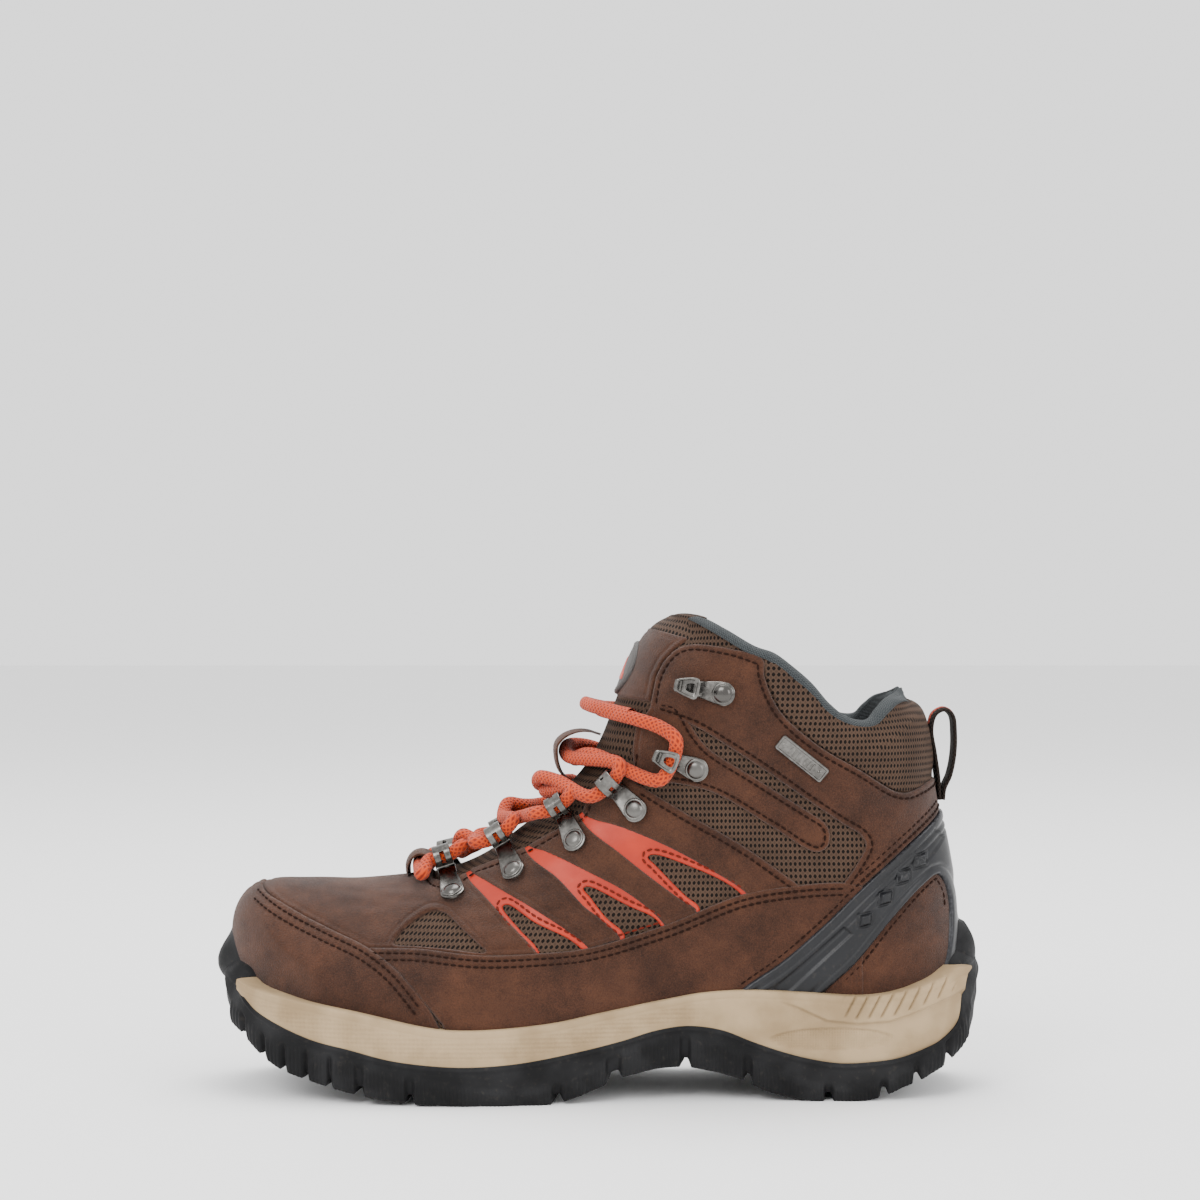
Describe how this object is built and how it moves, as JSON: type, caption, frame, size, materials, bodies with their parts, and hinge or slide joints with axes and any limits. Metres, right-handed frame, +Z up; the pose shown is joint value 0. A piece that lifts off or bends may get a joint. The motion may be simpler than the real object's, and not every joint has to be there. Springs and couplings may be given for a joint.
{
  "type": "mid-height lace-up hiking boot",
  "caption": "Mid-height lace-up hiking boot with suede and mesh upper, metal lace rings and hooks, orange lace, foam midsole and lugged rubber outsole.",
  "frame": {"origin": "on the ground, at the middle of the sole's length and width", "axes": "+X from toe to heel along the boot, so the toe points to -X; +Y from the outer side to the inner side of this left boot; +Z up from the ground"},
  "size_m": [0.304, 0.108, 0.1854],
  "materials": {
    "suede": "brushed split leather, brown",
    "insert_film": "smooth coral film",
    "nickel": "dark nickel plate",
    "mesh_cloth": "open spacer mesh, brown grey",
    "lining_cloth": "knitted lining, grey",
    "footbed_cloth": "woven cover on foam",
    "cage_rubber": "moulded heel support, dark grey",
    "patch_rubber": "moulded patch, grey with a coral mark",
    "lace_cord": "round braid, orange",
    "webbing": "woven tape, dark brown with a coral stripe",
    "midsole_foam": "moulded foam, beige",
    "outsole_rubber": "charcoal rubber",
    "steel": "plain steel",
    "board": "fibre board"
  },
  "bodies": {
    "boot": {"collar_lining": "lining_cloth", "collar_mesh": "mesh_cloth", "eyestay_2_lateral": "suede", "eyestay_2_medial": "suede", "eyestay_3_lateral": "suede", "eyestay_3_medial": "suede", "eyestay_4_lateral": "suede", "eyestay_4_medial": "suede", "footbed": "footbed_cloth", "heel_cage": "cage_rubber", "heel_panel_lateral": "suede", "heel_panel_medial": "suede", "hook_5_lateral": "nickel", "hook_5_medial": "nickel", "hook_6_lateral": "nickel", "hook_6_medial": "nickel", "insert_1_lateral": "insert_film", "insert_1_medial": "insert_film", "insert_2_lateral": "insert_film", "insert_2_medial": "insert_film", "insert_3_lateral": "insert_film", "insert_3_medial": "insert_film", "insole_board": "board", "keeper_lower": "suede", "keeper_upper": "suede", "lace": "lace_cord", "mesh_shell": "mesh_cloth", "midsole": "midsole_foam", "outsole": "outsole_rubber", "quarter_lateral": "suede", "quarter_medial": "suede", "rand_lateral": "suede", "rand_medial": "suede", "ring_1_lateral": "nickel", "ring_1_lateral_rivet": "nickel", "ring_1_medial": "nickel", "ring_1_medial_rivet": "nickel", "ring_2_lateral": "nickel", "ring_2_lateral_rivet": "nickel", "ring_2_medial": "nickel", "ring_2_medial_rivet": "nickel", "ring_3_lateral": "nickel", "ring_3_lateral_rivet": "nickel", "ring_3_medial": "nickel", "ring_3_medial_rivet": "nickel", "ring_4_lateral": "nickel", "ring_4_lateral_rivet": "nickel", "ring_4_medial": "nickel", "ring_4_medial_rivet": "nickel", "shank": "steel", "side_finger_lateral": "suede", "side_finger_medial": "suede", "side_tag": "nickel", "toe_cap": "suede", "tongue_lower": "mesh_cloth", "vamp": "suede"},
    "tongue_top": {"tongue_upper": "mesh_cloth", "tongue_face": "suede", "tongue_patch": "patch_rubber"},
    "pull_tab": {"pull_loop": "webbing"}
  },
  "joints": [
    {"name": "tongue_fold", "type": "hinge", "parent": "boot", "child": "tongue_top", "pos_m": [0.0052, 0, 0.1522], "axis": [0, -1, 0], "range_deg": [0, 25]},
    {"name": "pull_tab_hinge", "type": "hinge", "parent": "boot", "child": "pull_tab", "pos_m": [0.1362, 0, 0.1128], "axis": [0, 1, 0], "range_deg": [0, 20]}
  ]
}
